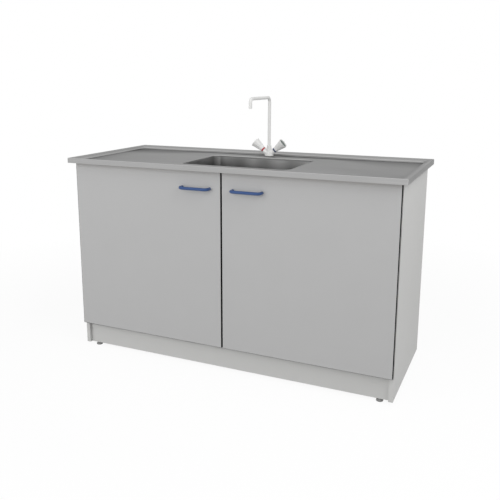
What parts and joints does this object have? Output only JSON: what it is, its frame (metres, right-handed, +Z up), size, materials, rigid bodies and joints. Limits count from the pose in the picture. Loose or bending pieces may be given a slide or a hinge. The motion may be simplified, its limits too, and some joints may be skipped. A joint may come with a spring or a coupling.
{
  "type": "laboratory sink unit",
  "caption": "Floor-standing laboratory sink cabinet: hinged flush doors under a raised-rim steel worktop with a welded bowl and a swivel-spout mixer tap.",
  "frame": {"origin": "on the floor, under the centre of the whole unit with its door handles", "axes": "+Z up, +X to the right as seen from the front, doors face -Y"},
  "size_m": [1.5, 0.6412, 1.1675],
  "materials": {
    "door_board": "light grey melamine-faced chipboard, satin",
    "carcass_board": "pale grey melamine-faced chipboard, satin",
    "edging": "dark edge banding, matt",
    "stainless": "fine brushed stainless steel",
    "underlay": "raw chipboard",
    "dowel_wood": "plain beech",
    "zinc_steel": "zinc-plated steel, satin",
    "handle_blue": "blue powder coat, satin",
    "tap_white": "white chemical-resistant powder coat, satin",
    "handle_white": "white moulded plastic, satin gloss",
    "cap_grey": "grey moulded plastic, matt",
    "ring_red": "red moulded plastic",
    "ring_blue": "blue moulded plastic",
    "brass": "turned brass",
    "copper": "drawn copper tube",
    "waste_white": "white polypropylene, matt",
    "seal_rubber": "black rubber",
    "buffer_clear": "translucent soft bumper",
    "foot_plastic": "grey moulded plastic",
    "insert_black": "black moulded plastic"
  },
  "bodies": {
    "cabinet": {"left_side_panel": "carcass_board", "right_side_panel": "carcass_board", "bottom_panel": "carcass_board", "back_panel": "carcass_board", "front_plinth_board": "carcass_board", "rear_plinth_board": "carcass_board", "front_top_rail": "carcass_board", "rear_top_rail": "carcass_board", "carcass_dowels": "dowel_wood", "foot_sockets": "zinc_steel", "worktop_sheet": "stainless", "underlay_board": "underlay", "sink_bowl": "stainless", "worktop_brackets": "zinc_steel", "mounting_screws": "zinc_steel", "hinge_arms": "zinc_steel", "hinge_plates": "zinc_steel", "hinge_pins": "zinc_steel", "door_buffers": "buffer_clear", "waste_strainer": "stainless", "strainer_screw": "zinc_steel", "waste_gasket": "seal_rubber", "waste_body": "waste_white", "trap_inlet_pipe": "waste_white", "trap_nuts": "waste_white", "trap_head": "waste_white", "trap_bottle": "waste_white", "outlet_pipe": "waste_white", "tap_gasket": "seal_rubber", "tap_body": "tap_white", "tap_shank": "brass", "shank_washer": "seal_rubber", "shank_nut": "brass", "supply_tails": "copper", "spout_collar": "tap_white", "headworks": "brass"},
    "spout": {"spout_pipe": "tap_white", "aerator": "insert_black"},
    "hot_valve_handle": {"hot_handle": "handle_white", "hot_ring": "ring_red", "hot_spindle": "brass", "hot_handle_cap": "cap_grey"},
    "cold_valve_handle": {"cold_handle": "handle_white", "cold_ring": "ring_blue", "cold_spindle": "brass", "cold_handle_cap": "cap_grey"},
    "left_door": {"left_door_panel": "door_board", "left_door_edging": "edging", "left_door_handle": "handle_blue", "left_handle_screws": "zinc_steel", "left_hinge_cups": "zinc_steel"},
    "right_door": {"right_door_panel": "door_board", "right_door_edging": "edging", "right_door_handle": "handle_blue", "right_handle_screws": "zinc_steel", "right_hinge_cups": "zinc_steel"},
    "front_left_foot": {"front_left_foot": "foot_plastic"},
    "front_right_foot": {"front_right_foot": "foot_plastic"},
    "rear_left_foot": {"rear_left_foot": "foot_plastic"},
    "rear_right_foot": {"rear_right_foot": "foot_plastic"}
  },
  "joints": [
    {"name": "left_door_hinge", "type": "hinge", "parent": "cabinet", "child": "left_door", "pos_m": [-0.719, -0.2729, 0.495], "axis": [0, 0, -1], "range_deg": [0, 95]},
    {"name": "right_door_hinge", "type": "hinge", "parent": "cabinet", "child": "right_door", "pos_m": [0.719, -0.2729, 0.495], "axis": [0, 0, 1], "range_deg": [0, 95]},
    {"name": "spout_swivel", "type": "hinge", "parent": "cabinet", "child": "spout", "pos_m": [0, 0.2381, 0.93], "axis": [0, 0, 1], "continuous": true},
    {"name": "hot_valve_turn", "type": "hinge", "parent": "cabinet", "child": "hot_valve_handle", "pos_m": [0, 0.2381, 0.892], "axis": [-0.7771, 0, 0.6293], "range_deg": [0, 180]},
    {"name": "cold_valve_turn", "type": "hinge", "parent": "cabinet", "child": "cold_valve_handle", "pos_m": [0, 0.2381, 0.892], "axis": [0.7771, 0, 0.6293], "range_deg": [0, 180]},
    {"name": "front_left_foot_turn", "type": "hinge", "parent": "cabinet", "child": "front_left_foot", "pos_m": [-0.673, -0.2429, 0.03], "axis": [0, 0, 1], "continuous": true},
    {"name": "front_right_foot_turn", "type": "hinge", "parent": "cabinet", "child": "front_right_foot", "pos_m": [0.673, -0.2429, 0.03], "axis": [0, 0, 1], "continuous": true},
    {"name": "rear_left_foot_turn", "type": "hinge", "parent": "cabinet", "child": "rear_left_foot", "pos_m": [-0.673, 0.2741, 0.03], "axis": [0, 0, 1], "continuous": true},
    {"name": "rear_right_foot_turn", "type": "hinge", "parent": "cabinet", "child": "rear_right_foot", "pos_m": [0.673, 0.2741, 0.03], "axis": [0, 0, 1], "continuous": true}
  ]
}
